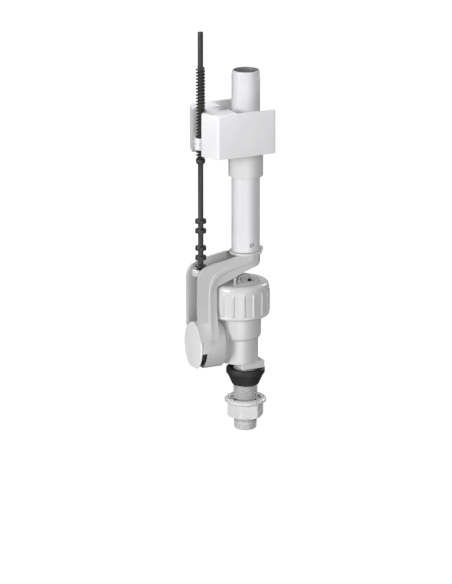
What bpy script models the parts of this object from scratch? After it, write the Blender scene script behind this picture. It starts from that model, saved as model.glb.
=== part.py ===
"""Bottom-entry toilet fill valve with a float on a threaded rod.

Z = 0 is the underside of the cistern floor, where the flange nut clamps.  The axis X = Y = 0 is that of
the inlet shank and of the guide tube.  The float rod stands at -X, and the lever swings in the XZ plane.
"""
import math

import bmesh
import bpy
from mathutils import Matrix, Vector

MM = 0.001
FIT = 0.3                       # clearance kept between neighbouring pieces, mm

# ---- driving dimensions, mm -----------------------------------------------------------------------
BODY_X = -6.7                   # axis of the valve body, its head and the union ring
ROD_X = -42.6                   # axis of the float rod

SHANK_R = 10.45                 # half of the G1/2 thread's outside diameter
SHANK_END_R = 9.7
SHANK_BORE_R = 6.2
SHANK_BOTTOM = -27.9
SHANK_THREAD_BOTTOM = -20.5
INLET_TOP, PASSAGE_BORE_R = 46.0, 7.2
PLATE_HALF_X, PLATE_HALF_Y = 10.6, 15.0
PLATE_BOTTOM, BODY_BOTTOM = 27.2, 34.2
BODY_LOWER_R, BODY_UPPER_R, BODY_THREAD_R = 16.7, 19.1, 22.0
BODY_STEP, BODY_THREAD_BOTTOM, BODY_TOP = 55.0, 77.0, 90.0
CHAMBER_R, CHAMBER_FLOOR = 17.0, 58.8
CHAMFER = 1.2                   # on turned rims
SEAT_R, SEAT_BORE_R, SEAT_TOP = 9.0, 6.0, 84.0
CORE_CAP_R, CORE_NECK_R, CORE_FOOT_R, CORE_BORE_R = 6.5, 4.5, 8.6, 1.3
CORE_TOP, CORE_CAP_LOW, CORE_FOOT_TOP, CORE_BOTTOM = 94.8, 93.4, 89.2, 85.6
METERING_PIN_R, METERING_PIN_BOTTOM = 0.8, 85.0

NUT_HEX_R, NUT_BOTTOM = 16.0, -16.7
NUT_FLANGE_R, NUT_FLANGE_T = 17.9, 4.5
NUT_CORNER_ANGLE = math.radians(-14)
SEAL_TOP, SEAL_TAPER_TOP, SEAL_BOTTOM = 26.9, 22.0, 12.0
SEAL_TOP_R, SEAL_BOTTOM_R = 16.6, 11.6

HOUSING_Z, HOUSING_HALF_Y = 53.0, 16.5
HOUSING_UP, HOUSING_DOWN = 20.4, 21.6
HOUSING_FLAT_ANGLE = math.radians(67)   # where the flat bottom starts, below the horizontal
HOUSING_RIGHT, HOUSING_LEFT, CAP_LEFT = -26.2, -48.3, -50.4
PORT_FACE, PORT_Z, SPIGOT_R, PORT_BORE_R = -24.0, 57.5, 9.6, 11.3
OUTLET_LOW, OUTLET_HIGH = (-49.0, -18.0, 25.0), (-43.7, 18.0, 48.5)
BAFFLE_LEFT, BAFFLE_RIGHT, BAFFLE_HOLE_R, BAFFLE_HOLES, BAFFLE_STEP = -37.5, -35.8, 2.2, 5, 6.0

PLATE_OUT, PLATE_IN = 12.3, 9.1     # the bracket's side plates, from Y = 0
LEG_LEFT, LEG_RIGHT = -50.8, -33.0
CORNER_R, CORNER_Z, ARM_TOP = 14.0, 110.8, 128.6
ARM_UNDERSIDE = ((LEG_RIGHT, 62.0), (LEG_RIGHT, 103.0), (LEG_RIGHT + 1.8, 105.2), (-17.8, 110.2),
                 (-4.7, 115.4), (1.9, 117.3), (5.0, 118.2), (8.0, 119.6), (10.5, 121.4), (12.2, 124.0),
                 (12.8, 127.0))
ARM_END = 14.0
BASE_RING_R, BASE_RING_BOTTOM, BASE_RING_TOP = 14.0, 128.4, 130.4
SPIGOT_BORE_R, SPIGOT_TOP = 7.4, 142.0
TUBE_R, TUBE_BORE_R, TUBE_TOP = 12.1, 10.5, 287.4
TUBE_REBATE_R, TUBE_REBATE_Z = 11.4, 280.8
PEG_Z, PEG_R = 137.2, 1.4

RING_R, RING_BOTTOM, RING_TOP = 26.8, 74.9, 104.7
RING_BORE_R, RING_LIP_R, RING_LIP_Z = 22.3, 17.1, 99.8
HEAD_FLANGE_R, HEAD_BOSS_R = 21.7, 16.7
HEAD_BOTTOM, HEAD_FLANGE_TOP, HEAD_TOP, HEAD_ROOF = 92.1, 98.5, 104.5, 98.0
HEAD_SKIRT_R, WELL_R, PILOT_BORE_R = 15.0, 4.2, 0.8
LUG_HALF_X, LUG_TOP_R, LUG_IN, LUG_OUT = 4.2, 3.2, 4.4, 6.6
PIVOT_X, PIVOT_Z, PIN_R, PIN_HALF = BODY_X, 107.4, 1.2, 7.0
PILOT_X, PILOT_SEAT_Z = 1.5, 101.2

LEVER_HALF_Y, HUB_R, HUB_HALF_Y = 2.8, 3.0, 3.9
TIP_R, TIP_BOTTOM, TIP_TOP, TIP_CHAMFER = 7.8, 113.4, 118.7, 1.6
TIP_SLOT_R, TIP_SLOT_HALF = 2.6, 1.9
ROD_CORE_R, ROD_THREAD_R, COLLAR_R = 2.25, 3.9, 4.7
ROD_BOTTOM, ROD_TOP, ROD_PIN_R = 107.7, 324.0, 1.75
FOOT_TOP, FOOT_RIM_TOP, FOOT_RIM_LOW, FOOT_BOTTOM = 123.4, 122.6, 121.4, 119.4
BULB_R, BULB_TOP, BULB_BOTTOM = 3.3, 112.3, 109.4   # the head under the lever's tip
THREAD_END, THREAD_TAPER, THREAD_TOP = 211.0, 212.4, 295.0
COLLARS = (161.1, 152.7, 137.6, 129.2)
COLLAR_T = 3.3

FLOAT_BOTTOM, FLOAT_TOP, FLOAT_WALL = 219.5, 257.0, 2.0
FLOAT_RIGHT, FLOAT_SHOULDER, FLOAT_NOSE, FLOAT_HALF_Y = 14.9, -39.5, -46.3, 26.5
SLOT_HALF_Y, SLOT_END = 8.6, -34.6
SLOT_TOP_END, SLOT_TOP_Z = -38.2, 236.0     # above this height the slot ends close to the rod
NOSE_INSET = 0.6                # share of a wall's thickness taken up along the slanted nose
PLATE_LOW, PLATE_HIGH, PLATE_HOLE_R, PLATE_FRONT = 228.0, 229.0, 5.0, -46.1
WELL_LEFT, WELL_FLOOR = -20.3, 245.0
POCKET_LEFT, POCKET_HALF_Y, POCKET_FLOOR = -29.0, 7.8, 238.0
SLEEVE_R, SLEEVE_BORE_R, SLEEVE_BOTTOM, SLEEVE_TOP = 14.7, 12.6, 196.3, 249.0
COLLAR_OVER_SLEEVE = 2.0
ADJUSTER_R, ADJUSTER_NECK_R = 5.3, 4.7
ADJUSTER_BOTTOM, ADJUSTER_TOP = 223.6, 233.9

WHITE = (0.80, 0.80, 0.80)
GREY = (0.56, 0.56, 0.57)
BLACK = (0.03, 0.028, 0.027)
RUBBER = (0.022, 0.022, 0.023)
STEEL = (0.55, 0.55, 0.56)
ORANGE = (0.75, 0.30, 0.05)
BLUE = (0.10, 0.25, 0.55)


# ---- helpers --------------------------------------------------------------------------------------
def clear_scene():
    for old in list(bpy.data.objects):
        bpy.data.objects.remove(old, do_unlink=True)


def collection(name):
    made = bpy.data.collections.new(name)
    bpy.context.scene.collection.children.link(made)
    return made


def plastic(obj, colour, roughness=0.42, metallic=0.0):
    """Give the object its own Principled material."""
    material = bpy.data.materials.new(obj.name)
    material.use_nodes = True
    shader = material.node_tree.nodes["Principled BSDF"]
    shader.inputs["Base Color"].default_value = (*colour, 1.0)
    shader.inputs["Roughness"].default_value = roughness
    shader.inputs["Metallic"].default_value = metallic
    obj.data.materials.append(material)
    return obj


def add_object(name, mesh, home, at=(0, 0, 0)):
    obj = bpy.data.objects.new(name, mesh)
    home.objects.link(obj)
    obj.location = Vector(at) * MM
    if home is CUTTERS:
        obj.hide_render = True
        obj.display_type = "WIRE"
    return obj


def turned(name, home, profile, at=(0, 0, 0), sides=48, closed=True, axis="Z"):
    """Turn a profile of (radius, height) points, given down its outer side, about an axis."""
    mesh = bpy.data.meshes.new(name)
    points = [(radius * MM, 0.0, height * MM) for radius, height in profile]
    edges = [(i, i + 1) for i in range(len(points) - 1)]
    if closed:
        edges.append((len(points) - 1, 0))
    mesh.from_pydata(points, edges, [])
    obj = add_object(name, mesh, home, at)
    screw = obj.modifiers.new("turn", "SCREW")
    screw.steps = screw.render_steps = sides
    screw.use_merge_vertices = True
    screw.merge_threshold = 0.00001
    if axis == "X":
        obj.rotation_euler = (0.0, math.pi / 2, 0.0)
    if axis == "Y":
        obj.rotation_euler = (-math.pi / 2, 0.0, 0.0)
    return obj


def rod(name, home, radius, low, high, at=(0, 0, 0), sides=32, axis="Z"):
    """A plain round bar between two heights along its axis."""
    profile = [(0, high), (radius, high), (radius, low), (0, low)]
    return turned(name, home, profile, at, sides, closed=False, axis=axis)


def block(name, home, low, high):
    """A box between two corners."""
    mesh = bpy.data.meshes.new(name)
    bm = bmesh.new()
    bmesh.ops.create_cube(bm, size=1.0)
    size = [b - a for a, b in zip(low, high)]
    middle = [(a + b) / 2 for a, b in zip(low, high)]
    bmesh.ops.scale(bm, vec=Vector(size) * MM, verts=bm.verts)
    bm.to_mesh(mesh)
    bm.free()
    return add_object(name, mesh, home, middle)


def slab(name, home, outline, low, high, axis="Y"):
    """A flat outline given a thickness.  Axis Y takes (x, z) points, Z takes (x, y), X takes (y, z)."""
    curve = bpy.data.curves.new(name, "CURVE")
    curve.dimensions = "2D"
    curve.fill_mode = "BOTH"
    curve.extrude = (high - low) / 2 * MM
    spline = curve.splines.new("POLY")
    spline.points.add(len(outline) - 1)
    for point, (u, v) in zip(spline.points, outline):
        point.co = (u * MM, v * MM, 0.0, 1.0)
    spline.use_cyclic_u = True
    guide = bpy.data.objects.new(name + "_outline", curve)
    home.objects.link(guide)
    middle = (low + high) / 2 * MM
    if axis == "Y":
        guide.matrix_world = Matrix.Translation((0, middle, 0)) @ Matrix.Rotation(math.pi / 2, 4, "X")
    elif axis == "X":
        turn = Matrix.Rotation(math.pi / 2, 4, "Z") @ Matrix.Rotation(math.pi / 2, 4, "X")
        guide.matrix_world = Matrix.Translation((middle, 0, 0)) @ turn
    else:
        guide.matrix_world = Matrix.Translation((0, 0, middle))
    bpy.context.view_layer.update()
    depsgraph = bpy.context.evaluated_depsgraph_get()
    mesh = bpy.data.meshes.new_from_object(guide.evaluated_get(depsgraph))
    bm = bmesh.new()
    bm.from_mesh(mesh)
    bmesh.ops.remove_doubles(bm, verts=bm.verts, dist=0.000001)
    bmesh.ops.recalc_face_normals(bm, faces=bm.faces)
    bm.to_mesh(mesh)
    bm.free()
    place = guide.matrix_world.copy()
    bpy.data.objects.remove(guide, do_unlink=True)
    obj = add_object(name, mesh, home)
    obj.matrix_world = place
    return obj


def combine(obj, operation, *others):
    """Join, cut or intersect the object with other shapes."""
    for other in others:
        step = obj.modifiers.new(operation.lower(), "BOOLEAN")
        step.operation = operation
        step.object = other
    return obj


def cut(obj, *others):
    return combine(obj, "DIFFERENCE", *others)


def join(obj, *others):
    return combine(obj, "UNION", *others)


def arc(centre, radius, start, end, steps):
    """Points along an arc, angles in degrees."""
    points = []
    for i in range(steps + 1):
        angle = math.radians(start + (end - start) * i / steps)
        points.append((centre[0] + radius * math.cos(angle), centre[1] + radius * math.sin(angle)))
    return points


def housing_outline(inset=0.0, steps=36):
    """The outlet housing's upright oval in (y, z), longer below its middle and flat at the bottom."""
    points = []
    first = -HOUSING_FLAT_ANGLE
    for i in range(steps + 1):
        angle = first + (math.pi + 2 * HOUSING_FLAT_ANGLE) * i / steps
        reach = HOUSING_UP if math.sin(angle) > 0 else HOUSING_DOWN
        points.append(((HOUSING_HALF_Y - inset) * math.cos(angle),
                       HOUSING_Z + (reach - inset) * math.sin(angle)))
    return points


def slot_outline(half, left):
    """A plan outline with a half-round right end about the tube's axis."""
    return [(left, -half)] + arc((0, 0), half, -90, 90, 20) + [(left, half)]


def float_outline(inset=0.0):
    """The float's plan: a box whose left side comes to a blunt nose."""
    half = FLOAT_HALF_Y - inset
    right, nose = FLOAT_RIGHT - inset, FLOAT_NOSE + inset
    shoulder = FLOAT_SHOULDER + inset * NOSE_INSET
    nose_half = SLOT_HALF_Y + inset * NOSE_INSET
    return [(right, -half), (right, half), (shoulder, half), (nose, nose_half), (nose, -nose_half),
            (shoulder, -half)]


# ---- body and inlet -------------------------------------------------------------------------------
def valve_body():
    """The moulded body: chamber and seat, passage to the outlet, plate and inlet shank."""
    outer = [(0, BODY_TOP), (BODY_THREAD_R, BODY_TOP), (BODY_THREAD_R, BODY_THREAD_BOTTOM),
             (BODY_UPPER_R, BODY_THREAD_BOTTOM - 1.5), (BODY_UPPER_R, BODY_STEP + 3),
             (BODY_LOWER_R, BODY_STEP), (BODY_LOWER_R, BODY_BOTTOM), (0, BODY_BOTTOM)]
    body = turned("valve_body", PARTS, outer, (BODY_X, 0, 0), closed=False)
    shank_top = BODY_BOTTOM + 2
    shank = [(0, shank_top), (SHANK_R, shank_top), (SHANK_R, SHANK_THREAD_BOTTOM),
             (SHANK_END_R, SHANK_THREAD_BOTTOM - 1), (SHANK_END_R, SHANK_BOTTOM), (0, SHANK_BOTTOM)]
    join(body,
         block("cut_body_plate", CUTTERS, (-PLATE_HALF_X, -PLATE_HALF_Y, PLATE_BOTTOM),
               (PLATE_HALF_X, PLATE_HALF_Y, BODY_BOTTOM + 0.5)),
         turned("cut_body_shank", CUTTERS, shank, closed=False),
         slab("cut_body_port", CUTTERS, housing_outline(2.2), PORT_FACE, BODY_X, axis="X"),
         rod("cut_body_spigot", CUTTERS, SPIGOT_R, HOUSING_RIGHT - 7, BODY_X, (0, 0, PORT_Z), axis="X"))
    ring = [(SEAT_R, BODY_TOP + 2), (CHAMBER_R, BODY_TOP + 2), (CHAMBER_R, CHAMBER_FLOOR),
            (SEAT_R, CHAMBER_FLOOR)]
    cut(body,
        turned("cut_body_chamber", CUTTERS, ring, (BODY_X, 0, 0)),
        rod("cut_body_seat_top", CUTTERS, SEAT_R + 1, SEAT_TOP, BODY_TOP + 3, (BODY_X, 0, 0)),
        rod("cut_body_seat_bore", CUTTERS, SEAT_BORE_R, INLET_TOP - 6, SEAT_TOP + 1, (BODY_X, 0, 0)),
        rod("cut_body_inlet", CUTTERS, SHANK_BORE_R, SHANK_BOTTOM - 1, INLET_TOP, sides=28),
        rod("cut_body_passage", CUTTERS, PASSAGE_BORE_R, HOUSING_RIGHT - 9, BODY_X - SEAT_R - 0.8,
            (0, 0, PORT_Z), axis="X", sides=28))
    return plastic(body, WHITE)


def inlet_filter():
    top, bottom, wall = -8.0, SHANK_BOTTOM + 0.6, 0.9
    outer, roof = SHANK_BORE_R - FIT, top - 1.6
    cup = [(0, top), (outer - CHAMFER, top), (outer, top - CHAMFER), (outer, bottom),
           (outer - wall, bottom), (outer - wall, roof), (0, roof)]
    return plastic(turned("inlet_filter", PARTS, cup, sides=24, closed=False), GREY)


def flow_restrictor():
    outer, top, low = SHANK_BORE_R - FIT, -3.0, -7.0
    mouth_r, throat_r = 3.4, 2.0
    profile = [(outer, top), (outer, low), (mouth_r, low), (throat_r, (top + low) / 2), (mouth_r, top)]
    return plastic(turned("flow_restrictor", PARTS, profile, sides=24), ORANGE)


def flange_nut():
    flange_low = -NUT_FLANGE_T
    bore = SHANK_R + FIT
    flange = [(NUT_FLANGE_R - CHAMFER, 0), (NUT_FLANGE_R, -CHAMFER), (NUT_FLANGE_R, flange_low + CHAMFER),
              (NUT_FLANGE_R - 1.6, flange_low), (bore, flange_low), (bore, 0)]
    nut = turned("flange_nut", PARTS, flange, sides=40)
    corners = [(NUT_HEX_R * math.cos(NUT_CORNER_ANGLE + i * math.pi / 3),
                NUT_HEX_R * math.sin(NUT_CORNER_ANGLE + i * math.pi / 3)) for i in range(6)]
    hexagon = slab("cut_nut_hexagon", CUTTERS, corners, NUT_BOTTOM, flange_low + 0.5, axis="Z")
    join(nut, hexagon)
    cut(nut, rod("cut_nut_bore", CUTTERS, bore, NUT_BOTTOM - 1, 1, sides=40))
    return plastic(nut, WHITE)


def cone_seal():
    bore = SHANK_R + FIT
    profile = [(SEAL_TOP_R, SEAL_TOP), (SEAL_TOP_R, SEAL_TAPER_TOP), (SEAL_BOTTOM_R, SEAL_BOTTOM),
               (bore, SEAL_BOTTOM), (bore, SEAL_TOP)]
    return plastic(turned("cone_seal", PARTS, profile, sides=40), RUBBER, 0.6)


# ---- bracket and outlet ---------------------------------------------------------------------------
def bracket():
    """Two side plates with a half-round end, the tube's base ring and the outlet housing, in one piece."""
    corner = arc((LEG_LEFT + CORNER_R, CORNER_Z), CORNER_R, 180, 100, 8)
    side = [(LEG_LEFT, HOUSING_Z)] + corner
    side += [(-ARM_END, ARM_TOP), (ARM_END, ARM_TOP)]
    side += list(reversed(ARM_UNDERSIDE)) + [(LEG_RIGHT, HOUSING_Z)]
    piece = slab("bracket_housing", PARTS, side, -PLATE_OUT - 1, PLATE_OUT + 1)
    plan = slab("cut_bracket_plan", CUTTERS, slot_outline(PLATE_OUT, -60), 40, 140, "Z")
    combine(piece, "INTERSECT", plan)
    cut(piece,
        slab("cut_bracket_gap", CUTTERS, slot_outline(PLATE_IN, -61), 39, 141, "Z"),
        slab("cut_bracket_toe", CUTTERS, housing_outline(-0.4), -60, HOUSING_LEFT, "X"))
    inside_tube = TUBE_BORE_R - FIT
    ring = [(BASE_RING_R, BASE_RING_TOP), (BASE_RING_R, BASE_RING_BOTTOM),
            (SPIGOT_BORE_R, BASE_RING_BOTTOM), (SPIGOT_BORE_R, SPIGOT_TOP),
            (inside_tube, SPIGOT_TOP), (inside_tube, BASE_RING_TOP)]
    join(piece,
         turned("cut_bracket_ring", CUTTERS, ring),
         rod("cut_bracket_peg", CUTTERS, PEG_R, -12.5, -9.0, (0, 0, PEG_Z), 16, "Y"),
         slab("cut_bracket_housing", CUTTERS, housing_outline(), HOUSING_LEFT, HOUSING_RIGHT, "X"))
    cut(piece,
        slab("cut_housing_inside", CUTTERS, housing_outline(2.0), HOUSING_LEFT - 4, HOUSING_RIGHT - 2, "X"),
        rod("cut_housing_port", CUTTERS, PORT_BORE_R, -30, -20, (0, 0, PORT_Z), axis="X"),
        block("cut_housing_outlet", CUTTERS, OUTLET_LOW, OUTLET_HIGH))
    return plastic(piece, WHITE)


def outlet_end_cap():
    cap = slab("outlet_end_cap", PARTS, housing_outline(0.2), CAP_LEFT, HOUSING_LEFT - FIT, "X")
    join(cap, slab("cut_cap_plug", CUTTERS, housing_outline(2.4), CAP_LEFT + 1, HOUSING_LEFT + 1.6, "X"))
    cut(cap,
        slab("cut_cap_hollow", CUTTERS, housing_outline(4.0), CAP_LEFT + 2, HOUSING_LEFT + 3, "X"),
        block("cut_cap_outlet", CUTTERS, (HOUSING_LEFT - FIT, *OUTLET_LOW[1:]), OUTLET_HIGH))
    return plastic(cap, WHITE)


def outlet_baffle():
    baffle = slab("outlet_baffle", PARTS, housing_outline(2.4, 32), BAFFLE_LEFT, BAFFLE_RIGHT, "X")
    for i in range(BAFFLE_HOLES):
        height = HOUSING_Z + BAFFLE_STEP * (i - (BAFFLE_HOLES - 1) / 2)
        cut(baffle, rod(f"cut_baffle_{i}", CUTTERS, BAFFLE_HOLE_R, BAFFLE_LEFT - 2, BAFFLE_RIGHT + 2,
                        (0, 0, height), 16, "X"))
    return plastic(baffle, GREY)


def port_seal():
    left, right = HOUSING_RIGHT - 1.9, HOUSING_RIGHT - 0.1
    outer, inner = PORT_BORE_R - FIT, SPIGOT_R + FIT
    profile = [(outer, right), (outer, left), (inner, left), (inner, right)]
    return plastic(turned("port_seal", PARTS, profile, (0, 0, PORT_Z), 32, axis="X"), RUBBER, 0.6)


def guide_tube():
    low = BASE_RING_TOP + FIT
    profile = [(TUBE_REBATE_R, TUBE_TOP), (TUBE_REBATE_R, TUBE_REBATE_Z), (TUBE_R, TUBE_REBATE_Z - 0.6),
               (TUBE_R, low), (TUBE_BORE_R, low), (TUBE_BORE_R, TUBE_TOP)]
    tube = turned("guide_tube", PARTS, profile)
    cut(tube, rod("cut_tube_hole", CUTTERS, PEG_R + 0.35, -20, -5, (0, 0, PEG_Z), 16, "Y"))
    return plastic(tube, WHITE)


# ---- valve head -----------------------------------------------------------------------------------
def valve_head():
    profile = [(0, HEAD_TOP), (HEAD_BOSS_R, HEAD_TOP), (HEAD_BOSS_R, HEAD_FLANGE_TOP),
               (HEAD_FLANGE_R, HEAD_FLANGE_TOP), (HEAD_FLANGE_R, HEAD_BOTTOM), (HEAD_SKIRT_R, HEAD_BOTTOM),
               (HEAD_SKIRT_R, HEAD_ROOF), (0, HEAD_ROOF)]
    head = turned("valve_head", PARTS, profile, (BODY_X, 0, 0), closed=False)
    lug = [(PIVOT_X - LUG_HALF_X, HEAD_TOP - 1), (PIVOT_X + LUG_HALF_X, HEAD_TOP - 1)]
    lug += arc((PIVOT_X, PIVOT_Z), LUG_TOP_R, 0, 180, 12)
    join(head,
         slab("cut_head_lug_near", CUTTERS, lug, -LUG_OUT, -LUG_IN),
         slab("cut_head_lug_far", CUTTERS, lug, LUG_IN, LUG_OUT))
    room = HUB_HALF_Y + 0.2
    cut(head,
        block("cut_head_hub", CUTTERS, (PIVOT_X - 4.6, -room, PIVOT_Z - 4.2),
              (PIVOT_X + 3.6, room, HEAD_TOP + 1)),
        rod("cut_head_eye", CUTTERS, PIN_R + FIT, -12, 12, (PIVOT_X, 0, PIVOT_Z), 16, "Y"),
        rod("cut_head_well", CUTTERS, WELL_R, PILOT_SEAT_Z, HEAD_TOP + 1, (PILOT_X, 0, 0), 24),
        rod("cut_head_pilot", CUTTERS, PILOT_BORE_R, HEAD_ROOF - 1, PILOT_SEAT_Z + 1, (PILOT_X, 0, 0), 12))
    return plastic(head, WHITE)


def union_ring():
    profile = [(24.2, RING_TOP), (26.0, 103.6), (RING_R, 100.6), (RING_R, 80.2), (RING_R - 1.4, 77.6),
               (22.9, RING_BOTTOM), (RING_BORE_R, RING_BOTTOM), (RING_BORE_R, RING_LIP_Z),
               (RING_LIP_R, RING_LIP_Z), (RING_LIP_R, RING_TOP)]
    return plastic(turned("union_ring", PARTS, profile, (BODY_X, 0, 0), 54), WHITE)


def clamp_washer():
    low, high = HEAD_FLANGE_TOP + FIT, RING_LIP_Z - FIT
    outer, inner = HEAD_FLANGE_R - 0.2, RING_LIP_R + FIT
    profile = [(outer, high), (outer, low), (inner, low), (inner, high)]
    return plastic(turned("clamp_washer", PARTS, profile, (BODY_X, 0, 0), 32), GREY)


def diaphragm():
    low, high = BODY_TOP + FIT, HEAD_BOTTOM - FIT
    outer, inner = 20.6, CORE_NECK_R + 0.4
    profile = [(outer, high), (outer, low), (inner, low), (inner, high)]
    return plastic(turned("diaphragm", PARTS, profile, (BODY_X, 0, 0), 36), RUBBER, 0.6)


def diaphragm_core():
    """The stiff centre of the diaphragm: a cap, a neck through the rubber and a foot over the seat."""
    profile = [(CORE_CAP_R, CORE_TOP), (CORE_CAP_R, CORE_CAP_LOW), (CORE_NECK_R, CORE_CAP_LOW),
               (CORE_NECK_R, CORE_FOOT_TOP), (CORE_FOOT_R, CORE_FOOT_TOP), (CORE_FOOT_R, CORE_BOTTOM),
               (CORE_BORE_R, CORE_BOTTOM), (CORE_BORE_R, CORE_TOP)]
    return plastic(turned("diaphragm_core", PARTS, profile, (BODY_X, 0, 0), 28), BLUE)


def metering_pin():
    pin = rod("metering_pin", PARTS, METERING_PIN_R, METERING_PIN_BOTTOM, HEAD_ROOF - FIT,
              (BODY_X, 0, 0), 12)
    return plastic(pin, STEEL, 0.3, 1.0)


# ---- lever ----------------------------------------------------------------------------------------
def lever_arm():
    """A hub on the pin, a long arm out to the rod's foot and a short arm over the pilot seat."""
    bar = [(PIVOT_X - 2, PIVOT_Z - 1.6), (PIVOT_X + 1, PIVOT_Z - 1.8), (PILOT_X + 2.2, PIVOT_Z - 1.8),
           (PILOT_X + 2.2, PIVOT_Z + 1.4), (PIVOT_X + 1, PIVOT_Z + 2.2), (PIVOT_X - 6, PIVOT_Z + 3.2),
           (ROD_X + 5.5, TIP_TOP - 0.6), (ROD_X + 5.5, TIP_BOTTOM + 0.6)]
    local = [(x - PIVOT_X, z - PIVOT_Z) for x, z in bar]
    lever = slab("lever_arm", PARTS, local, -LEVER_HALF_Y, LEVER_HALF_Y)
    lever.location += Vector((PIVOT_X, 0, PIVOT_Z)) * MM
    tip = [(0, TIP_TOP), (TIP_R - TIP_CHAMFER, TIP_TOP), (TIP_R, TIP_TOP - TIP_CHAMFER),
           (TIP_R, TIP_BOTTOM + TIP_CHAMFER), (TIP_R - TIP_CHAMFER, TIP_BOTTOM), (0, TIP_BOTTOM)]
    join(lever,
         rod("cut_lever_hub", CUTTERS, HUB_R, -HUB_HALF_Y, HUB_HALF_Y, (PIVOT_X, 0, PIVOT_Z), 24, "Y"),
         turned("cut_lever_tip", CUTTERS, tip, (ROD_X, 0, 0), 32, closed=False))
    slot = arc((ROD_X + TIP_SLOT_HALF, 0), TIP_SLOT_R, -90, 90, 8)
    slot += arc((ROD_X - TIP_SLOT_HALF, 0), TIP_SLOT_R, 90, 270, 8)
    cut(lever,
        rod("cut_lever_bore", CUTTERS, PIN_R + FIT, -6, 6, (PIVOT_X, 0, PIVOT_Z), 16, "Y"),
        slab("cut_lever_slot", CUTTERS, slot, TIP_BOTTOM - 2, TIP_TOP + 2, "Z"))
    return plastic(lever, WHITE)


def lever_pin():
    pin = rod("lever_pin", PARTS, PIN_R, -PIN_HALF, PIN_HALF, (PIVOT_X, 0, PIVOT_Z), 16, "Y")
    return plastic(pin, WHITE)


def pilot_seal():
    low, high = PILOT_SEAT_Z + 1.5, PIVOT_Z - 1.8 - FIT
    return plastic(rod("pilot_seal", PARTS, 2.2, low, high, (PILOT_X, 0, 0), 20), RUBBER, 0.6)


# ---- float and rod --------------------------------------------------------------------------------
def float_box():
    """An inverted cup with a slot for the rod at its nose and an open well round the guide tube."""
    box = slab("float_box", PARTS, float_outline(), FLOAT_BOTTOM, FLOAT_TOP, "Z")
    wall = FLOAT_WALL
    slot_wall, pocket_wall = SLOT_HALF_Y + wall, POCKET_HALF_Y + wall
    high, past = FLOAT_TOP + 10, 60
    inside = slab("cut_float_inside", CUTTERS, float_outline(wall), FLOAT_BOTTOM - 2, FLOAT_TOP - wall, "Z")
    cut(inside,
        block("cut_float_slot_wall", CUTTERS, (-past, -slot_wall, 200), (SLOT_END + wall, slot_wall, high)),
        block("cut_float_pocket_wall", CUTTERS, (POCKET_LEFT - wall, -pocket_wall, POCKET_FLOOR - wall),
              (WELL_LEFT, pocket_wall, high)),
        block("cut_float_well_wall", CUTTERS, (WELL_LEFT - wall, -40, WELL_FLOOR - wall), (past, 40, high)))
    cut(box,
        inside,
        block("cut_float_well", CUTTERS, (WELL_LEFT, -FLOAT_HALF_Y + wall, WELL_FLOOR),
              (past, FLOAT_HALF_Y - wall, high)),
        block("cut_float_pocket", CUTTERS, (POCKET_LEFT, -POCKET_HALF_Y, POCKET_FLOOR),
              (WELL_LEFT + 1, POCKET_HALF_Y, high)),
        block("cut_float_slot", CUTTERS, (-past, -SLOT_HALF_Y, 200), (SLOT_END, SLOT_HALF_Y, SLOT_TOP_Z)),
        block("cut_float_slot_top", CUTTERS, (-past, -SLOT_HALF_Y, SLOT_TOP_Z - 1),
              (SLOT_TOP_END, SLOT_HALF_Y, high)),
        rod("cut_float_tube_hole", CUTTERS, SLEEVE_R + FIT, 200, high))
    plate = block("cut_float_plate", CUTTERS, (PLATE_FRONT, -slot_wall + 1, PLATE_LOW),
                  (SLOT_END + 1, slot_wall - 1, PLATE_HIGH))
    hole = rod("cut_float_plate_hole", CUTTERS, PLATE_HOLE_R, PLATE_LOW - 2, PLATE_HIGH + 2, (ROD_X, 0, 0))
    cut(plate, hole)
    join(box, plate)
    return plastic(box, WHITE)


def float_sleeve():
    """The guide that runs on the tube; its collar rests on the floor of the float's well."""
    collar, collar_r = WELL_FLOOR + FIT, SLEEVE_R + COLLAR_OVER_SLEEVE
    profile = [(collar_r, SLEEVE_TOP), (collar_r, collar), (SLEEVE_R, collar),
               (SLEEVE_R, SLEEVE_BOTTOM), (SLEEVE_BORE_R, SLEEVE_BOTTOM), (SLEEVE_BORE_R, SLEEVE_TOP)]
    sleeve = turned("float_sleeve", PARTS, profile)
    cut(sleeve, block("cut_sleeve_side", CUTTERS, (10, -30, collar - 0.1), (30, 30, 270)))
    return plastic(sleeve, WHITE)


def adjuster_nut():
    """A spool on the rod's thread, snapped into the hole of the float's plate, in which it turns."""
    high, low = PLATE_HIGH + FIT, PLATE_LOW - FIT
    bore = ROD_THREAD_R + FIT
    profile = [(ADJUSTER_R, ADJUSTER_TOP), (ADJUSTER_R, high), (ADJUSTER_NECK_R, high),
               (ADJUSTER_NECK_R, low), (ADJUSTER_R, low), (ADJUSTER_R, ADJUSTER_BOTTOM),
               (bore, ADJUSTER_BOTTOM), (bore, ADJUSTER_TOP)]
    return plastic(turned("adjuster_nut", PARTS, profile, (ROD_X, 0, 0), 32), WHITE)


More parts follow.
